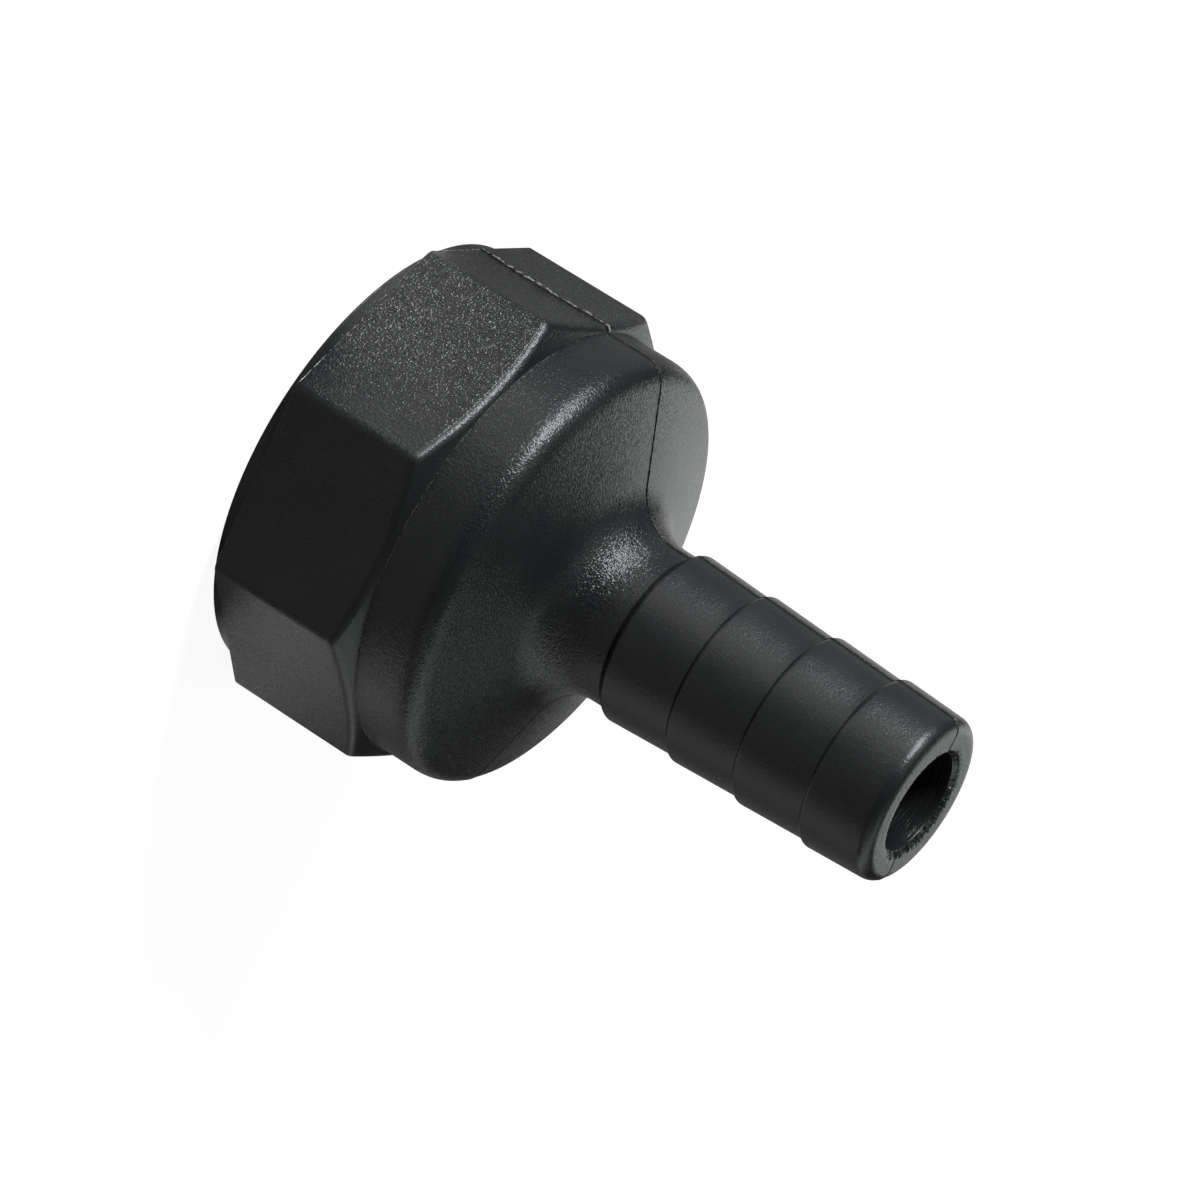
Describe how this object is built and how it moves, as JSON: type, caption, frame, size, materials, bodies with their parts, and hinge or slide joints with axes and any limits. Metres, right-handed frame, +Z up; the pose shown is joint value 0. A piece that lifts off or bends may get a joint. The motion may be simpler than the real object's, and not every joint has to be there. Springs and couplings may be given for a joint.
{
  "type": "thru hull adapter",
  "caption": "Moulded plastic adapter: octagonal head with a female pipe-thread socket, sloping shoulder and straight barbed tail for hose.",
  "frame": {"origin": "centre of the rim face at the mouth of the threaded socket, where the part stands", "axes": "+Z up the axis of the hose barb, away from the thread; the parting plane of the mould is XZ, through the middles of the -X and +X flats; flats face every 45 degrees from +X"},
  "size_m": [0.036, 0.036, 0.0504],
  "materials": {
    "body_plastic": "fine spark-eroded grain, satin"
  },
  "bodies": {
    "root": {"adapter_body": "body_plastic"}
  },
  "joints": []
}
